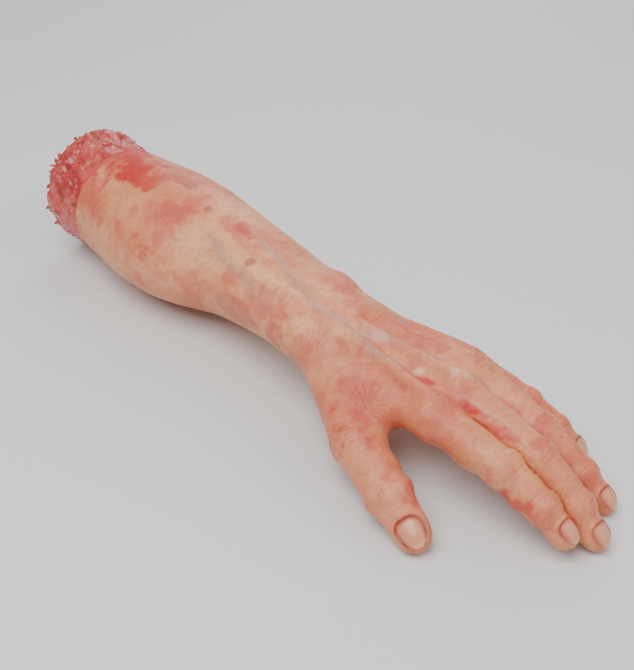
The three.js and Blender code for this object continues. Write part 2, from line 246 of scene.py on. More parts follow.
def local_grid(limb, grid):
    x, y, z = (grid[i] - limb.start[i] for i in range(3))
    return [x * axis[0] + y * axis[1] + z * axis[2] for axis in (limb.along, limb.side, limb.up)]


def cone(limb, radii, grid, flatness=1.0, offset=(0.0, 0.0)):
    """Distance to a tapered rod with round ends along a limb."""
    s, y, z = local_grid(limb, grid)
    t = np.clip(s / limb.length, 0, 1)
    radius = radii[0] + (radii[1] - radii[0]) * t
    y = y - offset[0]
    z = (z - offset[1]) / flatness
    return (np.sqrt((s - t * limb.length) ** 2 + y * y + z * z) - radius) * min(1.0, flatness)


def add_cone(field, limb, radii, blend, flatness=1.0, offset=(0.0, 0.0)):
    pad = max(radii) + blend + 4 + max(abs(o) for o in offset)
    where, grid = field.window(np.minimum(limb.start, limb.end) - pad, np.maximum(limb.start, limb.end) + pad)
    field.add(cone(limb, radii, grid, flatness, offset), where, blend)


def lump(limb, centre, radii, grid):
    """Distance to an ellipsoid, with its centre and radii along a limb's directions."""
    s, y, z = local_grid(limb, grid)
    p = [(v - c) / r for v, c, r in zip((s, y, z), centre, radii)]
    q = np.sqrt(sum(v * v for v in p)) + 1e-6
    slope = np.sqrt(sum((v / r) ** 2 for v, r in zip(p, radii))) + 1e-6
    return q * (q - 1) / slope


def add_lump(field, limb, centre, radii, blend):
    middle = limb.place(*centre)
    pad = max(radii) + blend + 2
    where, grid = field.window(middle - pad, middle + pad)
    field.add(lump(limb, centre, radii, grid), where, blend)


def smooth_rows(table, x):
    """The table's columns at x, with its first column as the key, joined by smooth curves."""
    keys = table[:, 0]
    slopes = np.gradient(table[:, 1:], keys, axis=0)
    i = np.clip(np.searchsorted(keys, x) - 1, 0, len(keys) - 2)
    span = keys[i + 1] - keys[i]
    t = np.clip((x - keys[i]) / span, 0, 1)[..., None]
    span = span[..., None]
    a, b = table[i, 1:], table[i + 1, 1:]
    rise = t * t * (3 - 2 * t)
    return a + (b - a) * rise + span * (slopes[i] * t * (1 - t) ** 2 - slopes[i + 1] * t * t * (1 - t))


def forearm_distance(grid):
    x, y, z = grid
    rows = smooth_rows(FOREARM, x.ravel() - WRIST[0])[:, None, None, :]
    cy, cz, a, b = (rows[..., i] for i in range(4))
    p, q = (y - WRIST[1] - cy) / a, (z - cz) / b
    r = np.sqrt(p * p + q * q) + 1e-6
    return r * (r - 1) / (np.sqrt((p / a) ** 2 + (q / b) ** 2) + 1e-6)


# ---- the skin's shape ---------------------------------------------------------------------


ARM_END = 22  # where the forearm's sections stop inside the hand, from the wrist's hinge
TENDONS = ((3, 18.5), (-8, 18), (12, 17))  # on the back of the wrist: to the side, up


def shape_forearm(field):
    where, grid = field.window(field.low, [WRIST[0] + (ARM_END + 4), BEYOND, BEYOND])
    field.add(forearm_distance(grid), where, 0)
    field.carve(WRIST[0] + ARM_END - grid[0], where, 6)
    arm = Limb(WRIST, WRIST + [-100, 3, 0], -WRIST_AXIS)
    add_lump(field, arm, (14, -17.5, 12.5), (11, 8.5, 8.5), 9)  # ulna's end
    add_lump(field, arm, (8, 22, 4), (16, 9, 12), 9)  # radius's end
    add_lump(field, arm, (150, 18, -4), (60, 25, 24), 18)  # thumb-side muscle
    for side, up in TENDONS:
        tendon = Limb(arm.place(52, side * 1.2, up + 2), HAND.place(40, -side * 1.4, 13.5), WRIST_AXIS)
        add_cone(field, tendon, (2.6, 2.4), 6)


def shape_palm(field):
    for name in FINGER_NAMES:
        first = DIGITS[name][0]
        knuckle = HAND.local(first.start)
        root = HAND.place(12, knuckle[1] * 0.5, -1)
        bone = Limb(root, first.start, WRIST_AXIS)
        girth = GIRTHS[name][0]
        add_cone(field, bone, (14, girth + 0.4), 12, 0.9, (0, -2.5))
    add_lump(field, HAND, (48, 2, -7), (38, 33, 12), 10)
    little = HAND.local(DIGITS["little"][0].start)
    heel = Limb(HAND.place(18, 19, -8), HAND.place(*(little - [10, 3, 4])), WRIST_AXIS)
    add_cone(field, heel, (13, 10.4), 8)
    for name in FINGER_NAMES:  # cords to the knuckles
        first = DIGITS[name][0]
        knuckle = HAND.local(first.start)
        start = HAND.place(30, knuckle[1] * 0.5, 13.5)
        top = first.place(-4, 0, GIRTHS[name][0] - 1.8)
        add_cone(field, Limb(start, top, WRIST_AXIS), (1.6, 2.4), 8)


def shape_thumb_ball(field):
    ball = Limb(HAND.place(16, -17, -8), DIGITS["thumb"][0].start, WRIST_AXIS)
    add_cone(field, ball, (15.5, 13.2), 9, 0.92)
    web = Limb(HAND.place(34, -22, -6), HAND.place(66, -31, -6), WRIST_AXIS)
    add_cone(field, web, (12, 6.5), 12)


def shape_digit(field, name):
    limbs, girths, flat = DIGITS[name], GIRTHS[name], FLATNESS[name]
    last = limbs[-1]
    for limb, a, b in zip(limbs[:-1], girths, girths[1:]):
        add_cone(field, limb, (a, b * 0.97), 3, flat)
    tip_radius = girths[-1] * 0.92
    pulp = Limb(last.start, last.place(last.length - tip_radius), last.side)
    add_cone(field, pulp, (girths[-2] * 0.96, tip_radius), 2.5, flat * 0.93, (0, -0.3))
    pulp_radii = (last.length * 0.36, girths[-1] * 0.97, girths[-1] * 0.8)
    add_lump(field, last, (last.length * 0.6, 0, -1.6), pulp_radii, 2.5)
    for limb, girth in zip(limbs[1:], girths[1:]):  # joints
        add_lump(field, limb, (0, 0, 0.6), (6.5, girth * 1.03, girth * flat), 3)
    for limb, girth in zip(limbs[:-1], girths[:-1]):  # palm-side pads
        pad_radii = (limb.length * 0.27, girth * 0.86, girth * 0.92 * flat)
        add_lump(field, limb, (0.58 * limb.length, 0, -1.8), pad_radii, 4)


DIGIT_ROOM = 24  # on each side of a digit's bones in its own field


def digit_field(name, skin):
    """A field round one digit, on the skin's grid."""
    limbs = DIGITS[name]
    points = np.array([limb.start for limb in limbs] + [limbs[-1].end])
    field = Field(points.min(axis=0) - DIGIT_ROOM, points.max(axis=0) + DIGIT_ROOM)
    field.low = skin.low + np.round((field.low - skin.low) / STEP) * STEP
    shape_digit(field, name)
    return field


def overlap(field, other):
    """The slices of two fields on one grid where they overlap."""
    offset = np.round((other.low - field.low) / STEP).astype(int)
    a = np.maximum(offset, 0)
    b = np.minimum(offset + other.shape, field.shape)
    mine = tuple(slice(i, j) for i, j in zip(a, b))
    theirs = tuple(slice(i, j) for i, j in zip(a - offset, b - offset))
    return mine, theirs


def merge(field, other, blend):
    mine, theirs = overlap(field, other)
    field.add(other.d[theirs], mine, blend)


WEB_REACH = {"index": 20, "middle": 20, "ring": 17}  # from the knuckle to the edge of the web
FINGER_GAP = 0.6
TABLE_LEVEL = 0.25  # the skin is flat where it lies on the table
EDGE_CENTRE = (8, 38)  # of the torn edge: Y from the wrist's hinge, and height


def pressed_apart(fields, name):
    """A finger's distances, with its sides pressed flat where its neighbours touch it."""
    field = fields[name]
    d = field.d.copy()
    i = FINGER_NAMES.index(name)
    for other in FINGER_NAMES[max(i - 1, 0) : i] + FINGER_NAMES[i + 1 : i + 2]:
        mine, theirs = overlap(field, fields[other])
        share = 0.5 * (field.d[mine] - fields[other].d[theirs]) + FINGER_GAP / 2
        d[mine] = -smooth_min(-d[mine], -share, 0.8)
    return d


def shape_fingers(skin):
    fields = {name: digit_field(name, skin) for name in FINGER_NAMES}
    together = Field(skin.low, skin.low + skin.shape * STEP)
    for name in FINGER_NAMES:
        mine, theirs = overlap(together, fields[name])
        together.add(pressed_apart(fields, name)[theirs], mine, 0)
    webbed = Field(skin.low, skin.low + skin.shape * STEP)
    for near, far in zip(FINGER_NAMES, FINGER_NAMES[1:]):
        a, b = DIGITS[near][0], DIGITS[far][0]
        reach = WEB_REACH[near]
        middle = 0.5 * (a.place(reach - 5, 0, -3.5) + b.place(reach - 5, 0, -3.5))
        root = 0.5 * (a.place(-12, 0, -3) + b.place(-12, 0, -3))
        add_cone(webbed, Limb(root, middle, WRIST_AXIS), (8.5, 4.6), 3)
    together.d = smooth_min(together.d, webbed.d, 3)
    skin.d = smooth_min(skin.d, together.d, 5)
    return fields


def shape_skin():
    """The whole skin's field, and each digit's own field by name."""
    low = np.array([WRIST[0] + WOUND_FACE + 14, cad_box[0][1] / MM - 8, -4])
    high = np.array(cad_box[1]) / MM + 8
    skin = Field(low, high)
    shape_palm(skin)
    shape_thumb_ball(skin)
    arm = Field(low, high)
    shape_forearm(arm)
    skin.d = smooth_min(skin.d, arm.d, 7)
    digits = shape_fingers(skin)
    digits["thumb"] = digit_field("thumb", skin)
    merge(skin, digits["thumb"], 6)
    where, (x, y, z) = skin.whole()
    skin.carve(z - TABLE_LEVEL, where, 2.5)
    turn = np.arctan2(z - EDGE_CENTRE[1], y - WRIST[1] - EDGE_CENTRE[0])
    rag = 1.6 * np.sin(5 * turn + 1) + 1.1 * np.sin(11 * turn) + 0.7 * np.sin(23 * turn + 2)
    skin.carve(x - WRIST[0] - SKIN_EDGE + rag, where, 3.5)
    return skin, digits


# ---- the skin's fine shape ----------------------------------------------------------------


def vertex_normals(points, faces):
    a, b, c, d = (points[faces[:, corner]] for corner in range(4))
    across = np.cross(c - a, d - b)
    normals = np.zeros_like(points)
    for corner in range(4):
        for axis in range(3):
            normals[:, axis] += np.bincount(faces[:, corner], across[:, axis], len(points))
    return normals / (np.linalg.norm(normals, axis=1, keepdims=True) + 1e-12)


def bell(x):
    return np.exp(-x * x)


def step_up(x, low, high):
    t = np.clip((x - low) / (high - low), 0, 1)
    return t * t * (3 - 2 * t)


def round_angle(local):
    """Angle round a limb: 0 on its back, pi on its palm side."""
    return np.arctan2(local[:, 1], local[:, 2])


BACK_LINES = (-6.6, -4.3, -2.2, 0.1, 2.1, 4.4)  # creases over a joint, along the digit from its hinge
PALM_LINES = (-1.3, 1.2)
CREASE_REACH = 11  # no joint's creases are further from its hinge
ROOT_CREASE = 21  # where a finger's crease meets the palm, from its knuckle
RIPPLE_PITCH = 2.5  # of the fine wrinkles over a knuckle


def joint_creases(points, name):
    """How deep each point sinks into the folds of skin at a digit's joints."""
    depth = np.zeros(len(points))
    limbs = DIGITS[name]
    for i, limb in enumerate(limbs[1:], 1):
        local = limb.local(points)
        girth = GIRTHS[name][i]
        off_axis = np.linalg.norm(local[:, 1:], axis=1)
        near = (np.abs(local[:, 0]) < CREASE_REACH) & (off_axis < girth * 1.5)
        at, where = local[near], points[near]
        turn = np.abs(round_angle(at))
        wave = 0.9 * fractal(where, 5, 2, 3.0 * i)
        back = bell(turn / 0.85)
        palm = bell((math.pi - turn) / 1.1)
        last = i == len(limbs) - 1
        sunk = np.zeros(near.sum())
        for line in BACK_LINES[1:-1] if last else BACK_LINES:
            strength = 0.45 + 0.35 * fractal(where, 7, 1, line)
            sunk += strength * back * bell((at[:, 0] - line + wave - 0.02 * at[:, 1] ** 2) / 0.75)
        for line in PALM_LINES:
            sunk += 0.6 * palm * bell((at[:, 0] - line + 0.4 * wave) / 0.8)
        depth[near] += sunk
    at = limbs[0].local(points)
    near = (np.abs(at[:, 0] - 4) < 24) & (np.linalg.norm(at[:, 1:], axis=1) < 17)
    at, where = at[near], points[near]
    fade = bell((at[:, 0] - 3) / 13) * bell(round_angle(at) / 0.9)
    ripple = np.sin(2 * math.pi * (at[:, 0] + 1.6 * fractal(where, 6, 2)) / RIPPLE_PITCH)
    depth[near] += 0.2 * fade * (1 + ripple)
    if name != "thumb":
        palm = bell(math.pi - np.abs(round_angle(at)))
        depth[near] += 0.7 * palm * bell((at[:, 0] - ROOT_CREASE) / 0.9)
    return depth


def web_creases(points):
    """Folds that run from the crook of the thumb up over the back of the hand."""
    crook = HAND.place(60, -34, -4)
    at = points - crook
    reach = np.linalg.norm(at, axis=1)
    turn = np.arctan2(at[:, 1] + at[:, 2], at[:, 0])
    fold = np.sin(17 * turn + 3.5 * fractal(points, 7, 2))
    return 0.16 * bell(reach / 15) * step_up(reach, 3, 9) * (1 + fold)


def wrist_creases(points):
    """Fine slanting wrinkles on the wrist's back and two folds on its palm side."""
    x = points[:, 0] - WRIST[0]
    up = points[:, 2] > WRIST[2]
    slant = x + 0.35 * (points[:, 1] - WRIST[1])
    ripple = np.sin(2 * math.pi * (slant + 1.8 * fractal(points, 9, 2)) / 3.1)
    fine = 0.1 * bell((x - 4) / 17) * (1 + ripple) * up
    below = sum(0.7 * bell((x - line + 1.2 * fractal(points, 12, 2)) / 0.9) for line in (-9, 1))
    return fine + below * ~up


def palm_creases(points):
    """The long lines of the palm."""
    local = HAND.local(points)
    below = local[:, 2] < -6
    x, y = local[:, 0] + 1.5 * fractal(points, 10, 2), local[:, 1]
    heart = bell((x - 68 + 0.25 * y) / 1.1) * step_up(y, -12, -2)
    head = bell((x - 56 + 0.45 * (y + 10)) / 1.1) * step_up(-y, -24, -14)
    life = bell((np.hypot(x - 38, y + 34) - 24) / 1.2) * step_up(x, 12, 22)
    return 0.8 * (heart + head + life) * below * step_up(y, -42, -36)


def stump_folds(points):
    """Slack folds of skin under the torn edge."""
    x = points[:, 0] - WRIST[0]
    side = bell((points[:, 1] - WRIST[1] + 24) / 20) * bell((points[:, 2] - 22) / 22)
    slant = x + 0.25 * (points[:, 2] - 20) + 2 * fractal(points, 14, 2)
    lines = sum(bell((slant - line) / 1.5) for line in (-205, -198))
    return 1.3 * side * lines


VEINS = [  # routes on the back of the hand and forearm: along, side from the wrist's hinge
    [(-64, 6), (-40, 2), (-18, -6), (6, -12), (28, -10), (48, -16), (66, -14)],
    [(28, -10), (44, -2), (62, 4), (76, 5)],
    [(-4, 14), (22, 12), (44, 14), (64, 24)],
    [(-92, -8), (-70, -16), (-46, -20), (-24, -24)],
]


def vein_height(points, wide=1.7):
    """1 on a vein's crest, fading to 0 beside it."""
    flat = points[:, :2] - WRIST[:2]
    crest = np.zeros(len(points))
    wobble = 1.5 * np.array([fractal(points, 16, 2), fractal(points, 16, 2, 9.0)]).T
    for route in VEINS:
        for a, b in zip(route, route[1:]):
            a, b = np.array(a, float), np.array(b, float)
            t = np.clip((flat + wobble - a) @ (b - a) / ((b - a) @ (b - a)), 0, 1)
            gap = np.linalg.norm(flat + wobble - a - t[:, None] * (b - a), axis=1)
            crest = np.maximum(crest, bell(gap / wide))
    return crest * (points[:, 2] > WRIST[2] + 2)


# ---- nails --------------------------------------------------------------------------------

NAIL_SPREAD = {"index": 0.92, "middle": 0.92, "ring": 0.92, "little": 0.9, "thumb": 0.92}  # half angle
NAIL_LENGTH = {"index": 11.5, "middle": 11.5, "ring": 11, "little": 9, "thumb": 14.5}
NAIL_END = 1.2  # how far the free edge stops short of the fingertip
NAIL_THICKNESS = 0.75
NAIL_ROWS, NAIL_COLUMNS = 26, 25
TIP_ROOM = 14  # no point of a fingertip is further from its axis


def nail_place(name, points):
    """(across, along) of points on a digit's nail: -1 to 1 across, 0 at its root and 1 at its free edge."""
    last = DIGITS[name][-1]
    local = last.local(points)
    start = last.length - NAIL_END - NAIL_LENGTH[name]
    return round_angle(local) / NAIL_SPREAD[name], (local[:, 0] - start) / NAIL_LENGTH[name]


def nail_outline(across, along):
    """Below 1 inside the nail, 1 on its outline."""
    root = np.clip((0.5 - along) / 0.5, 0, 2)
    tip = np.clip((along - 0.5) / 0.5, 0, 3)
    return (np.abs(across) ** 3 + root**3 + tip**4) ** (1 / 3)


def on_fingertip(points, name, own, start, lowest):
    """Which points are on a digit's last length: own says which are on the digit at all."""
    local = DIGITS[name][-1].local(points)
    near = (local[:, 0] > start) & (np.linalg.norm(local[:, 1:], axis=1) < TIP_ROOM)
    return near & (local[:, 2] > lowest) & own


def nail_seat(points, name, own):
    """Lowers the bed under a nail and raises the folds round its root and sides."""
    near = on_fingertip(points, name, own, DIGITS[name][-1].length * 0.2, 0)
    lift = np.zeros(len(points))
    across, along = nail_place(name, points[near])
    outline = nail_outline(across, along)
    folds = bell((outline - 1.14) / 0.13) * step_up(1 - along, 0.1, 0.5)
    lift[near] = 0.55 * folds - 0.45 * step_up(1.02 - outline, 0, 0.06)
    return lift


def sample(field, points):
    """The field's distance at points, between its grid's cells."""
    p = (points - field.low) / field.step
    cell = np.clip(np.floor(p).astype(int), 0, np.array(field.d.shape) - 2)
    f = p - cell
    total = 0
    for corner in np.ndindex(2, 2, 2):
        weight = np.prod([f[..., a] if c else 1 - f[..., a] for a, c in enumerate(corner)], axis=0)
        i, j, k = np.moveaxis(cell + corner, -1, 0)
        total = total + weight * field.d[i, j, k]
    return total


MARCH_STEPS = 30


def surface_reach(field, limb, along, turn):
    """How far the surface is from a limb's axis at each length along it and angle round it."""
    reach = np.full(np.shape(along), 4.0)
    out = np.sin(turn)[..., None] * limb.side + np.cos(turn)[..., None] * limb.up
    root = limb.start + along[..., None] * limb.along
    for _ in range(MARCH_STEPS):
        reach = reach - sample(field, root + reach[..., None] * out) * 0.8
    return root, out, reach


def plate_faces(rows, columns):
    """Faces of a closed plate: a grid of points above, the same grid below, and the rim between them."""
    count = rows * columns
    grid = np.arange(count).reshape(rows, columns)
    faces = []
    for i in range(rows - 1):
        for j in range(columns - 1):
            a, b, c, d = grid[i, j], grid[i + 1, j], grid[i + 1, j + 1], grid[i, j + 1]
            faces += [(a, d, c, b), (a + count, b + count, c + count, d + count)]
    rim = np.concatenate([grid[:, 0], grid[-1, 1:], grid[-2::-1, -1], grid[0, -2::-1]])
    faces += [(a, b, b + count, a + count) for a, b in zip(rim, rim[1:])]
    return np.array(faces).tolist()


def nail_tint(along, across, free):
    """Peach, paler at the free edge, with blood drawn in round the root and sides."""
    along, across, free = (values.reshape(-1, 1) for values in (along, across, free))
    tint = np.where(free > 0.05, NAIL_EDGE, NAIL_BED)
    stain = np.clip(np.abs(across) * 1.2 - 0.75, 0, 1) + np.clip(0.18 - along, 0, 1) * 3
    return tint + (BLOOD - tint) * np.clip(stain, 0, 0.75)


def make_nail(name, field, look):
    """A thin curved plate that follows the fingertip under it."""
    last = DIGITS[name][-1]
    length = NAIL_LENGTH[name]
    rows, columns = np.linspace(0, 1, NAIL_ROWS), np.linspace(-1, 1, NAIL_COLUMNS)
    along, across = np.meshgrid(rows, columns, indexing="ij")
    end = np.clip((along - 0.8) / 0.2, 0, 1)
    narrow = (1 - (1 - np.clip(along * 2.4, 0, 1)) ** 2.6) ** (1 / 2.6) * (1 - 0.3 * end**3)
    turn = across * NAIL_SPREAD[name] * np.maximum(narrow, 0.12)
    bow = 0.45 * (1 - across**2) * end
    start = last.length - NAIL_END - length
    root, out, height = surface_reach(field, last, start + along * length + bow, turn)
    for _ in range(6):  # evens out the height along the nail
        height[1:-1] = (height[:-2] + height[1:-1] * 2 + height[2:]) / 4
    free = np.clip((along - 0.86) / 0.14, 0, 1)
    height = height + 0.28 - 0.5 * np.abs(across) ** 6 - 0.6 * np.clip(1 - along * 9, 0, 1) + 0.35 * free
    top = root + height[..., None] * out
    bottom = root + (height - NAIL_THICKNESS)[..., None] * out
    points = np.concatenate([top.reshape(-1, 3), bottom.reshape(-1, 3)])
    tint = np.tile(nail_tint(along, across, free), (2, 1))
    faces = plate_faces(NAIL_ROWS, NAIL_COLUMNS)
    piece = make_object(f"{name}_nail_plate", points, faces, look, tint)
    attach(piece, f"{name}_tip")
    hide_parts(f"{name}_nail")


# ---- colours, as linear red, green and blue -----------------------------------------------

PALE = np.array([0.83, 0.36, 0.165])
PEACH = np.array([0.73, 0.235, 0.10])
FLUSH = np.array([0.60, 0.095, 0.048])
RED = np.array([0.56, 0.016, 0.012])
BLOOD = np.array([0.30, 0.006, 0.006])
BROWN = np.array([0.38, 0.085, 0.05])
VEIN = np.array([0.42, 0.22, 0.19])
# pale tone of the painted highlights on the knuckles and the back of the hand
PAINTED_HIGHLIGHT = np.array([0.92, 0.66, 0.48])
NAIL_BED = np.array([0.70, 0.27, 0.15])
NAIL_EDGE = np.array([0.78, 0.38, 0.21])

# Stains and marks, placed from the wrist's hinge: point (X, Y, height), half length, half width,
# heading in degrees from +X towards +Y, colour and strength.
MARKS = [
    ((-180, -1, 76), 22, 13, 8, RED, 0.95),
    ((-190, 12, 78), 24, 14, 20, RED, 0.7),
    ((-206, 2, 76), 16, 22, 80, RED, 0.75),
    ((-211, -22, 66), 10, 22, 85, RED, 0.55),
    ((-213, 20, 78), 12, 30, 85, RED, 0.9),
    ((-158, 6, 78), 16, 8, 30, FLUSH, 0.7),
    ((-137, 11, 77), 5.5, 4, 10, BROWN, 0.75),
    ((-148, 13, 78), 14, 6, 15, FLUSH, 0.6),
    ((-111, 4, 73), 3.2, 2.8, 0, BROWN, 0.65),
    ((-57, -9, 63), 4, 3.4, 0, BROWN, 0.7),
    ((-60, -22, 56), 10, 7, 20, FLUSH, 0.6),
    ((-82, 8, 69), 7, 3, -12, RED, 0.95),
    ((-88, 3, 69), 16, 7, -5, RED, 0.45),
    ((-70, 12, 68), 20, 6, 12, FLUSH, 0.6),
    ((-124, -11, 70), 12, 10, 30, FLUSH, 0.85),
    ((-120, 0, 73), 10, 8, 0, FLUSH, 0.5),
    ((-153, -22, 64), 6, 5, 0, FLUSH, 0.6),
    ((-164, -28, 55), 10, 6, -40, RED, 0.4),
    ((-146, -30, 50), 20, 8, -18, RED, 0.45),
    ((-129, -30, 46), 14, 8, -10, RED, 0.4),
    ((-176, -29, 52), 12, 5, 70, FLUSH, 0.6),
    ((-85, -26, 42), 22, 9, 0, FLUSH, 0.5),
    ((-52, -27, 40), 16, 8, 0, BROWN, 0.4),
    ((-32, -22, 50), 22, 12, 0, FLUSH, 0.5),
    ((-15, -28, 44), 9, 8, 0, FLUSH, 0.7),
    ((-10, 16, 62), 14, 10, 0, RED, 0.5),
    ((4, 12, 62), 12, 4, 20, FLUSH, 0.7),
    ((30, 8, 60), 20, 7, 10, FLUSH, 0.6),
    ((60, 12, 58), 12, 8, 25, FLUSH, 0.7),
    # Pale spots on the knuckles and the back of the hand: painted highlights.
    ((72, -8, 56), 5, 3.6, 30, PAINTED_HIGHLIGHT, 0.45),
    ((40, -5, 59), 6, 4, 0, PAINTED_HIGHLIGHT, 0.25),
    ((80, -13, 54), 7, 3, 18, RED, 0.95),
    ((76, -22, 52), 9, 3, 70, FLUSH, 0.7),
    ((90, 2, 56), 8, 7, 0, PAINTED_HIGHLIGHT, 0.35),
    ((62, -40, 33), 17, 9, -30, RED, 0.75),
    ((70, -44, 26), 10, 8, -20, BLOOD, 0.6),
    ((52, -32, 44), 14, 7, 30, FLUSH, 0.85),
    ((20, -26, 50), 16, 9, 20, FLUSH, 0.5),
    ((106, -8, 49), 18, 3, 4, RED, 0.85),
    ((96, 8, 50), 12, 3.4, 12, RED, 0.6),
    ((122, -7, 44), 20, 3, 2, RED, 0.6),
    ((125, 14, 42), 22, 3.5, 3, RED, 0.55),
    ((112, 32, 40), 18, 4, 8, RED, 0.6),
    ((142, 1, 42), 4, 8, 0, RED, 0.5),
    ((130, 21, 38), 4, 8, 0, RED, 0.55),
    ((134, -22, 30), 14, 5, 0, RED, 0.75),
    ((152, -24, 24), 14, 5, 5, RED, 0.75),
    ((172, -15, 18), 10, 5, 10, RED, 0.6),
    ((92, -53, 20), 5, 10, 60, FLUSH, 0.7),
    ((108, -52, 24), 8, 7, 0, RED, 0.55),
    ((118, -46, 18), 14, 4, -15, RED, 0.7),
    ((150, 42, 14), 12, 4, 10, RED, 0.5),
    ((118, 44, 28), 14, 5, 10, FLUSH, 0.7),
]


def mix(colour, other, share):
    return colour + (other - colour) * np.clip(share, 0, 1)[:, None]


def paint_skin(points, sunk, nearest):
    """A colour for each point of the skin. nearest is the number of the digit that a point is on."""
    patches = fractal(points, 30, 3)
    blotches = fractal(points, 11, 4, 4.0)
    streaks = fractal(points * [0.45, 1, 1], 5, 2, 8.0)
    specks = fractal(points, 2.4, 2, 1.0)
    colour = np.tile(PEACH, (len(points), 1))
    colour = mix(colour, PALE, 0.5 + 0.9 * patches)
    colour = mix(colour, FLUSH, step_up(blotches + 0.35 * streaks - 0.5 * patches, -0.1, 1.3) * 0.55)
    colour = mix(colour, FLUSH, 0.3 * step_up(specks, 0.0, 0.8))
    colour = mix(colour, FLUSH, 0.22 * step_up(points[:, 0] - WRIST[0], 10, 60))
    colour = mix(colour, VEIN, 0.55 * vein_height(points, 2.6))
    ragged = 0.45 * fractal(points, 6, 3, 2.0) + 0.2 * streaks
    for place, half_length, half_width, heading, stain, strength in MARKS:
        off = points - (WRIST * [1, 1, 0] + place)
        way = np.array([math.cos(math.radians(heading)), math.sin(math.radians(heading)), 0])
        along = off @ way
        beside = np.linalg.norm(off - along[:, None] * way, axis=1)
        r = np.hypot(along / half_length, beside / half_width)
        crisp = 0.35 if stain is BROWN else 1.0
        colour = mix(colour, stain, strength * step_up(1.3 - r + ragged * crisp, 0, 0.3 + 0.5 * crisp))
    # Red in the creases, as strong as they are deep: partly the prop's own blood paint in its folds, partly
    # painted shade and painted subsurface redness in them.
    colour = mix(colour, RED, 0.55 * step_up(sunk, 0.15, 0.9))
    for i, name in enumerate(DIGITS):
        across, along = nail_place(name, points)
        ring = bell((nail_outline(across, along) - 1.06) / 0.1) * step_up(1 - along, 0.0, 0.4)
        ring = ring * on_fingertip(points, name, nearest == i, 0, -2)
        colour = mix(colour, BLOOD, ring * (0.75 + 0.5 * blotches))
    edge = points[:, 0] - WRIST[0] - SKIN_EDGE
    colour = mix(colour, RED, 0.8 * step_up(3.5 - edge + 3 * blotches, 0, 4) * step_up(points[:, 2], 30, 70))
    return colour


# ---- materials ----------------------------------------------------------------------------


class Nodes:
    """Short calls for building a material."""

    def __init__(self, name):
        self.material = bpy.data.materials.new(name)
        self.material.use_nodes = True
        self.tree = self.material.node_tree
        self.shader = self.tree.nodes["Principled BSDF"]
        self.place = self.attribute("rest", "Vector")
        self.tint = self.attribute("tint", "Color")

    def add(self, kind, inputs=(), **settings):
        node = self.tree.nodes.new(kind)
        for key, value in settings.items():
            setattr(node, key, value)
        for key, value in dict(inputs).items():
            self.set(node, key, value)
        return node

    def set(self, node, key, value):
        if isinstance(value, bpy.types.NodeSocket):
            self.tree.links.new(value, node.inputs[key])
        else:
            node.inputs[key].default_value = value

    def attribute(self, name, output):
        return self.add("ShaderNodeAttribute", attribute_name=name).outputs[output]

    def noise(self, place, scale, detail=3.0, roughness=0.55):
        inputs = {"Vector": place, "Scale": scale, "Detail": detail, "Roughness": roughness}
        return self.add("ShaderNodeTexNoise", inputs).outputs["Fac"]

    def stretched(self, place, scale, turn=0.0):
        inputs = {"Vector": place, "Scale": scale, "Rotation": (0, 0, turn)}
        return self.add("ShaderNodeMapping", inputs).outputs["Vector"]

    def ramp(self, value, low, high, to_low=0.0, to_high=1.0):
        inputs = {"Value": value, "From Min": low, "From Max": high, "To Min": to_low, "To Max": to_high}
        return self.add("ShaderNodeMapRange", inputs).outputs["Result"]

    def maths(self, operation, a, b):
        return self.add("ShaderNodeMath", {0: a, 1: b}, operation=operation).outputs["Value"]

    def bump(self, height, strength, distance, normal=None):
        inputs = {"Height": height, "Strength": strength, "Distance": distance}
        if normal is not None:
            inputs["Normal"] = normal
        return self.add("ShaderNodeBump", inputs).outputs["Normal"]

    def finish(self, **inputs):
        """Sets the shader's sockets, named in lower case with underscores, and gives the material."""
        for key, value in inputs.items():
            self.set(self.shader, key.replace("_", " ").title(), value)
        return self.material


def shaded(nodes, tint, shade, amount):
    """The tint, made darker where shade is low."""
    factor = nodes.ramp(shade, 0.3, 0.7, 1 - amount, 1 + amount * 0.4)
    scaled = nodes.add("ShaderNodeVectorMath", {0: tint}, operation="SCALE")
    nodes.set(scaled, "Scale", factor)
    return scaled.outputs["Vector"]


def skin_material():
    nodes = Nodes("silicone_skin")
    cells = nodes.add("ShaderNodeTexVoronoi", {"Vector": nodes.place, "Scale": 1100.0}).outputs["Distance"]
    pores = nodes.noise(nodes.place, 1500.0, 2.0)
    across = nodes.noise(nodes.stretched(nodes.place, (1.0, 0.2, 0.2)), 1100.0, 3.0)
    slant = nodes.noise(nodes.stretched(nodes.place, (1.0, 0.22, 0.4), 0.6), 800.0, 3.0)
    lines = nodes.maths("ADD", across, slant)
    normal = nodes.bump(cells, 0.22, 0.0004)
    normal = nodes.bump(pores, 0.18, 0.0004, normal)
    normal = nodes.bump(lines, 0.42, 0.0007, normal)
    colour = shaded(nodes, nodes.tint, nodes.noise(nodes.place, 420.0, 4.0), 0.10)
    colour = shaded(nodes, colour, across, 0.12)
    gloss = nodes.ramp(nodes.noise(nodes.place, 180.0, 3.0), 0.3, 0.7, 0.36, 0.56)
    return nodes.finish(
        base_color=colour,
        roughness=gloss,
        normal=normal,
        subsurface_weight=0.12,
        subsurface_radius=(0.004, 0.0015, 0.0008),
        subsurface_scale=0.5,
        coat_weight=0.08,
        coat_roughness=0.35,
    )


def flesh_material():
    nodes = Nodes("torn_flesh")
    fibres = nodes.noise(nodes.stretched(nodes.place, (0.25, 1.0, 1.0)), 600.0, 4.0)
    grains = nodes.noise(nodes.place, 900.0, 3.0)
    normal = nodes.bump(fibres, 0.5, 0.001)
    normal = nodes.bump(grains, 0.4, 0.0006, normal)
    wet = nodes.ramp(nodes.noise(nodes.place, 140.0, 2.0), 0.35, 0.65, 0.18, 0.5)
    colour = shaded(nodes, nodes.tint, grains, 0.25)
    return nodes.finish(
        base_color=colour,
        roughness=wet,
        normal=normal,
        coat_weight=0.35,
        coat_roughness=0.12,
    )


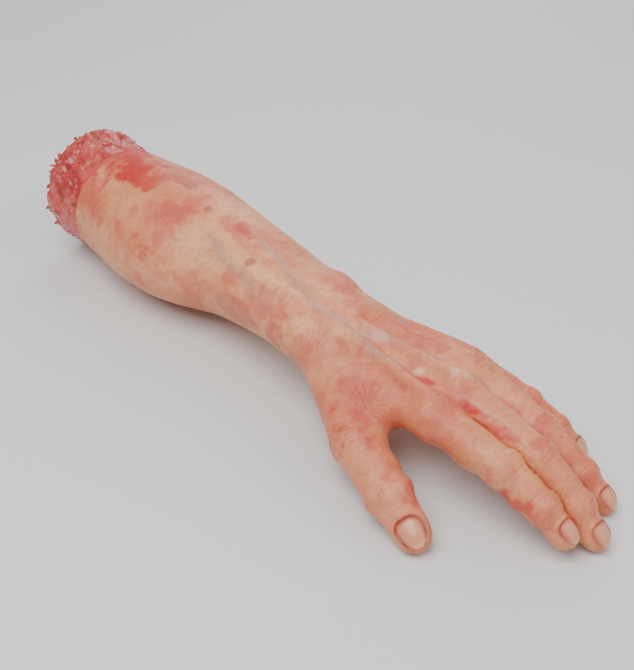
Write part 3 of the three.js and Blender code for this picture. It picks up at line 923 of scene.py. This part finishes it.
def nail_material():
    nodes = Nodes("acrylic_nail")
    ridges = nodes.noise(nodes.stretched(nodes.place, (0.15, 1.0, 1.0)), 900.0, 2.0)
    colour = shaded(nodes, nodes.tint, nodes.noise(nodes.place, 300.0, 3.0), 0.08)
    rough = nodes.ramp(ridges, 0.3, 0.7, 0.22, 0.34)
    normal = nodes.bump(ridges, 0.12, 0.0003)
    return nodes.finish(base_color=colour, roughness=rough, normal=normal, coat_weight=0.2)


def bone_material():
    nodes = Nodes("cast_bone")
    pits = nodes.noise(nodes.place, 900.0, 4.0)
    colour = shaded(nodes, nodes.tint, pits, 0.2)
    rough = nodes.ramp(pits, 0.3, 0.7, 0.4, 0.65)
    return nodes.finish(base_color=colour, roughness=rough, normal=nodes.bump(pits, 0.35, 0.0006))


# ---- meshes -------------------------------------------------------------------------------


def make_object(name, points, faces, look, tint, normals=None):
    """A mesh object with smooth faces, its resting coordinates and a colour for each point."""
    mesh = bpy.data.meshes.new(name)
    mesh.from_pydata((points * MM).tolist(), [], faces)
    mesh.materials.append(look)
    mesh.polygons.foreach_set("use_smooth", np.ones(len(mesh.polygons), bool))
    rest = mesh.attributes.new("rest", "FLOAT_VECTOR", "POINT")
    rest.data.foreach_set("vector", (points * MM).astype(np.float32).ravel())
    colours = mesh.attributes.new("tint", "FLOAT_COLOR", "POINT")
    rgba = np.concatenate([np.clip(tint, 0, 1), np.ones((len(tint), 1))], axis=1)
    colours.data.foreach_set("color", rgba.astype(np.float32).ravel())
    if normals is not None:
        mesh.normals_split_custom_set_from_vertices(normals.tolist())
    piece = bpy.data.objects.new(name, mesh)
    bpy.context.collection.objects.link(piece)
    return piece


# ---- cutting the skin into pieces ---------------------------------------------------------

UPPER_END = -112  # between the forearm's two lengths, along X from the wrist's hinge
WRIST_HALF = 24  # the wrist's piece of skin reaches about this far on each side of the wrist's hinge
CUT_MARGIN = 0.8  # cuts lie this far outside the lengths given below
LABELS_START = 30  # no digit's piece reaches nearer to the wrist's hinge along X
# The lengths of skin over a knuckle, along the digit from its hinge.
KNUCKLE_START = {"index": 5, "middle": 4, "ring": 6, "little": 12, "thumb": -10}
KNUCKLE_END = {"index": 30, "middle": 34, "ring": 31, "little": 25, "thumb": 18}
USUAL_JOINT_HALF = 7  # a half length of skin on each side of a hinge beyond the knuckle
JOINT_HALF = {"little_end": 5}
AWAY = 99.0  # the distance given to points outside a digit's own field
DIGIT_REACH = 9  # skin further than this from a digit's own shape belongs to the hand
DEEPEST_WEB = 26  # two digits' skins part no further than this beyond where the knuckle bends
WALL_DEPTH = 4.5
# The pieces of a digit by its count of hinges: their names, CAD bodies, and the pins at their far ends.
PARTS = {
    3: [("knuckle", "proximal", "middle_pin"), ("middle", "middle", "end_pin"), ("end", "tip", None)],
    2: [("knuckle", "proximal", "end_pin"), ("end", "tip", None)],
}


def reach_to(field, points):
    """Distance from a digit's own surface, and a large number away from it."""
    top = field.low + (np.array(field.d.shape) - 1) * field.step
    inside = ((points > field.low) & (points < top)).all(axis=1)
    reach = np.full(len(points), AWAY)
    reach[inside] = sample(field, points[inside])
    return reach


def cut_labels(centres, digits):
    """The number of the piece that each face belongs to, and the pieces' names."""
    x = centres[:, 0] - WRIST[0]
    names = ["arm_upper", "arm_lower", "wrist", "hand"]
    labels = (x > UPPER_END).astype(int) + (x > -WRIST_HALF - 2) + (x > WRIST_HALF + 2)
    reach = np.array([reach_to(digits[name], centres) for name in DIGITS])
    nearest = reach.argmin(axis=0)
    for i, (name, limbs) in enumerate(DIGITS.items()):
        along = limbs[0].local(centres)[:, 0]
        mine = (nearest == i) & (reach[i] < DIGIT_REACH) & (x > LABELS_START)
        mine &= along > KNUCKLE_START[name] - CUT_MARGIN
        part = (along > KNUCKLE_END[name] + CUT_MARGIN).astype(int)
        if len(limbs) == 3:
            part += (part > 0) & (limbs[1].local(centres)[:, 0] > limbs[1].length / 2)
        labels[mine] = len(names) + part[mine]
        names += [f"{name}_{part_name}" for part_name, body, pin in PARTS[len(limbs)]]
    return labels, names


def torn_edges(faces, labels, names):
    """Edges between a digit and its neighbour, which part when one of them moves: (point, point, piece)."""
    edges = np.concatenate([np.stack([faces[:, i], faces[:, (i + 1) % 4]], 1) for i in range(4)])
    owner = np.tile(labels, 4)
    key = np.sort(edges, axis=1)
    order = np.lexsort((key[:, 1], key[:, 0]))
    key, edges, owner = key[order], edges[order], owner[order]
    twin = np.flatnonzero((key[1:] == key[:-1]).all(axis=1))
    digit = np.array([n.split("_")[0] for n in names])
    hand = names.index("hand")
    for i in twin:
        a, b = owner[i], owner[i + 1]
        if digit[a] != digit[b] and min(a, b) >= hand:
            yield edges[i], a
            yield edges[i + 1], b


def inner_walls(points, faces, labels, names):
    """For each piece, the edges that need an inner wall, as a neighbour can move away from them."""
    walls = {}
    for (a, b), label in torn_edges(faces, labels, names):
        digit = names[label].split("_")[0]
        if digit in DIGITS:
            limb = DIGITS[digit][0]
            depth = limb.local(0.5 * (points[a] + points[b])[None])[0, 0] - KNUCKLE_START[digit]
            if 1.5 < depth < DEEPEST_WEB:
                walls.setdefault(label, []).append((b, a))
    return walls


def build_piece(name, mine, points, normals, tints, wall, look):
    """One piece of the skin from its own faces, with an inner wall below the edges in wall."""
    used, index = np.unique(mine, return_inverse=True)
    lookup = {v: i for i, v in enumerate(used)}
    edge = sorted({v for pair in wall for v in pair})
    inner = {v: len(used) + i for i, v in enumerate(edge)}
    spots = np.concatenate([points[used], points[edge] - normals[edge] * WALL_DEPTH])
    shades = np.concatenate([tints[used], np.tile(RED, (len(edge), 1))])
    directions = np.concatenate([normals[used], normals[edge]])
    faces = index.reshape(mine.shape).tolist()
    faces += [(lookup[a], lookup[b], inner[b], inner[a]) for a, b in wall]
    return make_object(f"skin_{name}", spots, faces, look, shades, directions)


def bend_or_ride(piece, name):
    """Puts a piece of the forearm's or hand's skin on its CAD body; the wrist's and digits' pieces are only
    baked in place, on no body.
    """
    digit, _, part = name.partition("_")
    if name == "wrist":
        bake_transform(piece)
    elif digit not in DIGITS:
        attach(piece, "hand" if name == "hand" else "forearm")
    else:
        limbs = DIGITS[digit]
        parts = PARTS[len(limbs)]
        step = [part_name for part_name, body, pin in parts].index(part)
        if step == 0:
            before, after = limbs[0].place(KNUCKLE_START[digit]), limbs[0].place(KNUCKLE_END[digit])
        else:
            half = JOINT_HALF.get(name, USUAL_JOINT_HALF)
            before, after = limbs[step].start - half * limbs[step - 1].along, limbs[step].place(half)
        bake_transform(piece)


REPLACED = {
    "arm_upper": ["forearm_skin", "foam_core", "armature_rod"],
    "wrist": ["wrist_skin", "wrist_pin"],
    "hand": ["hand_skin", "palm_frame"] + [f"{d}_knuckle_pin" for d in DIGITS],
}


def replaced_nodes(name):
    """The CAD nodes that a piece of the skin stands for."""
    digit, _, part = name.partition("_")
    if digit not in DIGITS:
        return REPLACED.get(name, [])
    body, pin = next(entry[1:] for entry in PARTS[len(DIGITS[digit])] if entry[0] == part)
    nodes = [f"{digit}_{body}_skin", f"{digit}_{body}_link"]
    return nodes + [f"{digit}_{pin}"] if pin else nodes


LOWEST = 0.1  # no point of the skin goes below this


def build_skin():
    field, digits = shape_skin()
    points, faces = field.mesh()
    normals = vertex_normals(points, faces)
    sunk = web_creases(points) + wrist_creases(points) + palm_creases(points) + stump_folds(points)
    for name in DIGITS:
        sunk = np.maximum(sunk, joint_creases(points, name))
    lift = 0.3 * vein_height(points) + 0.12 * fractal(points, 5, 2)
    nearest = np.argmin([reach_to(digits[name], points) for name in DIGITS], axis=0)
    for i, name in enumerate(DIGITS):
        lift += nail_seat(points, name, nearest == i)
    shaped = points + normals * (lift - sunk)[:, None]
    shaped[:, 2] = np.maximum(shaped[:, 2], LOWEST)
    normals = vertex_normals(shaped, faces)
    tints = paint_skin(points, sunk, nearest)
    labels, names = cut_labels(points[faces].mean(axis=1), digits)
    walls = inner_walls(shaped, faces, labels, names)
    look = skin_material()
    for label, name in enumerate(names):
        mine = faces[labels == label]
        piece = build_piece(name, mine, shaped, normals, tints, walls.get(label, []), look)
        bend_or_ride(piece, name)
        if replaced_nodes(name):
            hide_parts(*replaced_nodes(name))
    look = nail_material()
    for name in DIGITS:
        make_nail(name, field, look)


# ---- the torn end -------------------------------------------------------------------------

WOUND_CENTRE = WRIST + [0, 8, 0]
WOUND_ROWS = np.array(  # along X from the wrist's hinge, height of the middle, radius
    [
        [-248, 41, 36.5],
        [-244, 41, 38.8],
        [-238, 40.6, 39.6],
        [-228, 39.8, 38.8],
        [-216, 38.8, 37.6],
        [-204, 38.5, 36.5],
    ]
)
WOUND_STEP = 0.8
WOUND_HEIGHT = 41  # of the middle of the torn face
WOUND_BACK = -206  # the flesh's hidden end, inside the skin
FACE_RADIUS = 37
TATTERS, BUNDLES = 330, 60
BUNDLE_REACH = 33  # no bundle ends further from the wound's middle
MUSCLE = np.array([0.42, 0.018, 0.016])
BRIGHT = np.array([0.62, 0.075, 0.055])
FAT = np.array([0.82, 0.34, 0.19])
DARK_MOTTLE_AND_SHADE = np.array([0.16, 0.006, 0.006])
BONE = np.array([0.74, 0.55, 0.33])
MARROW = np.array([0.30, 0.03, 0.02])


def flesh_distance(grid):
    """Distance to the lumpy plug of flesh with its dished face."""
    x, y, z = grid
    rows = smooth_rows(WOUND_ROWS, x.ravel() - WRIST[0])[:, None, None, :]
    spots = np.stack(np.broadcast_arrays(x, y, z), axis=-1)
    spot = spots.reshape(-1, 3)
    lumps = fractal(spot, 11, 3, 3.0).reshape(spots.shape[:3])
    fine = fractal(spot, 3.4, 2, 6.0).reshape(lumps.shape)
    outward = step_up(WRIST[0] + SKIN_EDGE - x, -2, 14)
    side = np.hypot(y - WOUND_CENTRE[1], z - rows[..., 0]) - rows[..., 1]
    side = side - outward * (1.9 * lumps + 0.9 * fine)
    reach = np.hypot(y - WOUND_CENTRE[1], z - WOUND_HEIGHT)
    dish = 11 * (1 - np.clip(reach / FACE_RADIUS, 0, 1) ** 2)
    face = WRIST[0] + WOUND_FACE + dish + 2.6 * lumps + 1.6 * fine - x
    back = x - (WRIST[0] + WOUND_BACK)
    return -smooth_min(smooth_min(-side, -face, 3), -back, 1)


def face_point(along, off):
    """A point on the torn end: how far along X from the wrist's hinge, and off the wound's axis."""
    return np.array([WRIST[0] + along, WOUND_CENTRE[1], WOUND_HEIGHT]) + off


def add_tatters(field):
    """Small strands and beads of torn silicone round the rim."""
    for _ in range(TATTERS):
        turn = RNG.uniform(0, 2 * math.pi)
        out = np.array([0, math.cos(turn), math.sin(turn)])
        along = WOUND_FACE + RNG.uniform(0, 9) ** 1.15
        root = face_point(along, out * (FACE_RADIUS + 0.5 + RNG.uniform(-1, 1)))
        way = unit(out * RNG.uniform(0.3, 1.0) + [-RNG.uniform(0, 0.7), 0, 0] + RNG.normal(0, 0.45, 3))
        tip = root + way * RNG.uniform(0.8, 2.6)
        thick = RNG.uniform(0.6, 1.2)
        if tip[2] > 1.4:
            add_cone(field, Limb(root, tip, np.cross(way, [0.3, 0.2, 0.9])), (thick * 1.3, thick), 0.9)


def add_bundles(field):
    """Ends of muscle bundles on the torn face."""
    for _ in range(BUNDLES):
        turn, reach = RNG.uniform(0, 2 * math.pi), BUNDLE_REACH * math.sqrt(RNG.uniform(0, 1))
        out = np.array([0, math.cos(turn), math.sin(turn)])
        face = WOUND_FACE + 10 * (1 - (reach / FACE_RADIUS) ** 2)
        root = face_point(face + 2, out * reach)
        thick = RNG.uniform(1.8, 3.6)
        tip = root - [RNG.uniform(2, 4.5), 0, 0] + RNG.normal(0, 0.8, 3)
        add_cone(field, Limb(root, tip, np.array([0, 1.0, 0])), (thick, thick * 0.7), 1.2)


def bone_places():
    """Name, middle, radius and end of each bone, from its CAD node."""
    for name in ("radius_bone", "ulna_bone"):
        low, high = (np.array(corner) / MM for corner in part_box(name))
        yield name, 0.5 * (low + high), 0.5 * (high[1] - low[1]), low[0]


def build_wound():
    """The torn end's flesh, with holes that the bones stand in."""
    low = [WRIST[0] + WOUND_FACE - 8, WOUND_CENTRE[1] - 48, -1]
    field = Field(low, [WRIST[0] + WOUND_BACK + 3, WOUND_CENTRE[1] + 48, 88], WOUND_STEP)
    where, grid = field.whole()
    field.add(flesh_distance(grid), where, 0)
    add_bundles(field)
    add_tatters(field)
    x, y, z = grid
    for name, middle, radius, end in bone_places():
        field.carve(np.hypot(y - middle[1], z - middle[2]) - radius - 0.5, where, 1.5)
    field.carve(z - 0.3, where, 1.5)
    points, faces = field.mesh()
    tint = flesh_tint(points)
    normals = vertex_normals(points, faces)
    piece = make_object("torn_flesh", points, faces.tolist(), flesh_material(), tint, normals)
    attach(piece, "forearm")
    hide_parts("wound_flesh")


def flesh_tint(points):
    """Red muscle with dark mottles and painted shade deepening towards the middle of the dished face, with
    flecks of fat round the rim.
    """
    reach = np.hypot(points[:, 1] - WOUND_CENTRE[1], points[:, 2] - WOUND_HEIGHT)
    tint = np.tile(BRIGHT, (len(points), 1))
    tint = mix(tint, MUSCLE, 0.9 * step_up(fractal(points, 9, 3), -0.6, 0.5))
    # Dark mottles, with painted shade that deepens towards the middle of the dished face.
    tint = mix(tint, DARK_MOTTLE_AND_SHADE, 0.75 * step_up(fractal(points, 5, 2, 2.0) + (33 - reach) / 40, 0.3, 1.1))
    on_rim = step_up(reach, 33, 38)
    tint = mix(tint, FAT, 0.55 * on_rim * step_up(fractal(points, 2.6, 2, 7.0), 0.5, 0.9))
    return mix(tint, FAT, 0.3 * on_rim * step_up(fractal(points, 14, 2, 5.0), 0.3, 0.9))


def build_bone(name, middle, radius, end, look):
    """A sawn tube of bone with a marrow hollow, turned round its own axis and roughened."""
    inner = radius * 0.6
    # Each ring of the tube: along the bone from its sawn end, and the ring's radius.
    profile = [(34, 0.02), (34, radius)] + [(x, radius) for x in np.linspace(30, 2, 15)]
    profile += [(0.7, radius - 0.2), (0, radius - 0.8), (-0.1, inner + 1.2), (0.3, inner + 0.3)]
    profile += [(1.6, inner), (4, inner * 0.93), (5.5, inner * 0.6), (6, 0.02)]
    sides = 72
    turns = np.linspace(0, 2 * math.pi, sides, endpoint=False)
    points = np.array([(x, r * math.cos(t), r * math.sin(t)) for x, r in profile for t in turns])
    points += [end, middle[1], middle[2]]
    outward = points - [0, middle[1], middle[2]]
    outward[:, 0] = 0
    reach = np.linalg.norm(outward, axis=1, keepdims=True)
    points = points + outward / (reach + 0.5) * (0.45 * fractal(points, 5, 3) - 0.4)[:, None] * (reach > 1)
    points[:, 0] += 0.5 * fractal(points, 2.6, 2) * (points[:, 0] < end + 8)
    faces = []
    for ring in range(len(profile) - 1):
        for k in range(sides):
            a, b = ring * sides + k, ring * sides + (k + 1) % sides
            faces.append((a, a + sides, b + sides, b))
    faces.append(tuple(range(sides)))
    faces.append(tuple(range((len(profile) - 1) * sides, len(profile) * sides))[::-1])
    tint = np.tile(BONE, (len(points), 1))
    hollow = step_up(inner + 0.9 - reach[:, 0], 0, 0.8) * (points[:, 0] < end + 10)
    tint = mix(tint, MARROW, hollow)
    tint = mix(tint, RED, 0.6 * step_up(fractal(points, 4, 3, 2.0), 0.0, 0.8))
    piece = make_object(f"{name}_end", points, faces, look, tint)
    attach(piece, "forearm")
    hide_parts(name)


build_skin()
build_wound()
bone_look = bone_material()
for bone in bone_places():
    build_bone(*bone, bone_look)


# ---- camera, floor and light --------------------------------------------------------------

PHOTO_HEIGHT = 670
FOCAL_PIXELS = 1013
SENSOR = 36


def add_camera():
    data = bpy.data.cameras.new("camera")
    camera = bpy.data.objects.new("camera", data)
    bpy.context.collection.objects.link(camera)
    data.sensor_fit = "AUTO"
    data.sensor_width = SENSOR
    data.lens = FOCAL_PIXELS / PHOTO_HEIGHT * SENSOR
    data.clip_end = 20
    target = (WRIST + [-47, 35, -4 - WRIST[2]]) * MM
    camera.location = (WRIST + [333.7, -333, 362.7 - WRIST[2]]) * MM
    direction = Vector(target) - camera.location
    camera.rotation_euler = direction.to_track_quat("-Z", "Y").to_euler()
    bpy.context.scene.camera = camera


FLOOR_SIZE_METRES = 3.0


def add_floor():
    bpy.ops.mesh.primitive_plane_add(size=FLOOR_SIZE_METRES, location=(0, 0, 0))
    floor = bpy.context.object
    floor.name = "floor"
    paint = bpy.data.materials.new("floor")
    paint.use_nodes = True
    shader = paint.node_tree.nodes["Principled BSDF"]
    shader.inputs["Base Color"].default_value = (0.72, 0.72, 0.71, 1)
    shader.inputs["Roughness"].default_value = 0.9
    floor.data.materials.append(paint)


def add_area_light(name, location, size, power):
    """A square light turned to the frame's origin. Metres and watts."""
    data = bpy.data.lights.new(name, "AREA")
    data.size = size
    data.energy = power
    lamp = bpy.data.objects.new(name, data)
    lamp.location = location
    lamp.rotation_euler = (-Vector(location)).to_track_quat("-Z", "Y").to_euler()
    bpy.context.collection.objects.link(lamp)


def add_world():
    world = bpy.data.worlds.new("world")
    bpy.context.scene.world = world
    world.use_nodes = True
    background = world.node_tree.nodes["Background"]
    background.inputs["Color"].default_value = (0.9, 0.92, 0.95, 1)
    background.inputs["Strength"].default_value = 0.45


add_camera()
add_floor()
add_world()
add_area_light("key", (0.1, -0.5, 1.1), 0.9, 16)
add_area_light("fill", (1.0, 0.5, 0.8), 1.2, 6)
add_area_light("back", (-0.7, 0.9, 0.8), 0.8, 6)
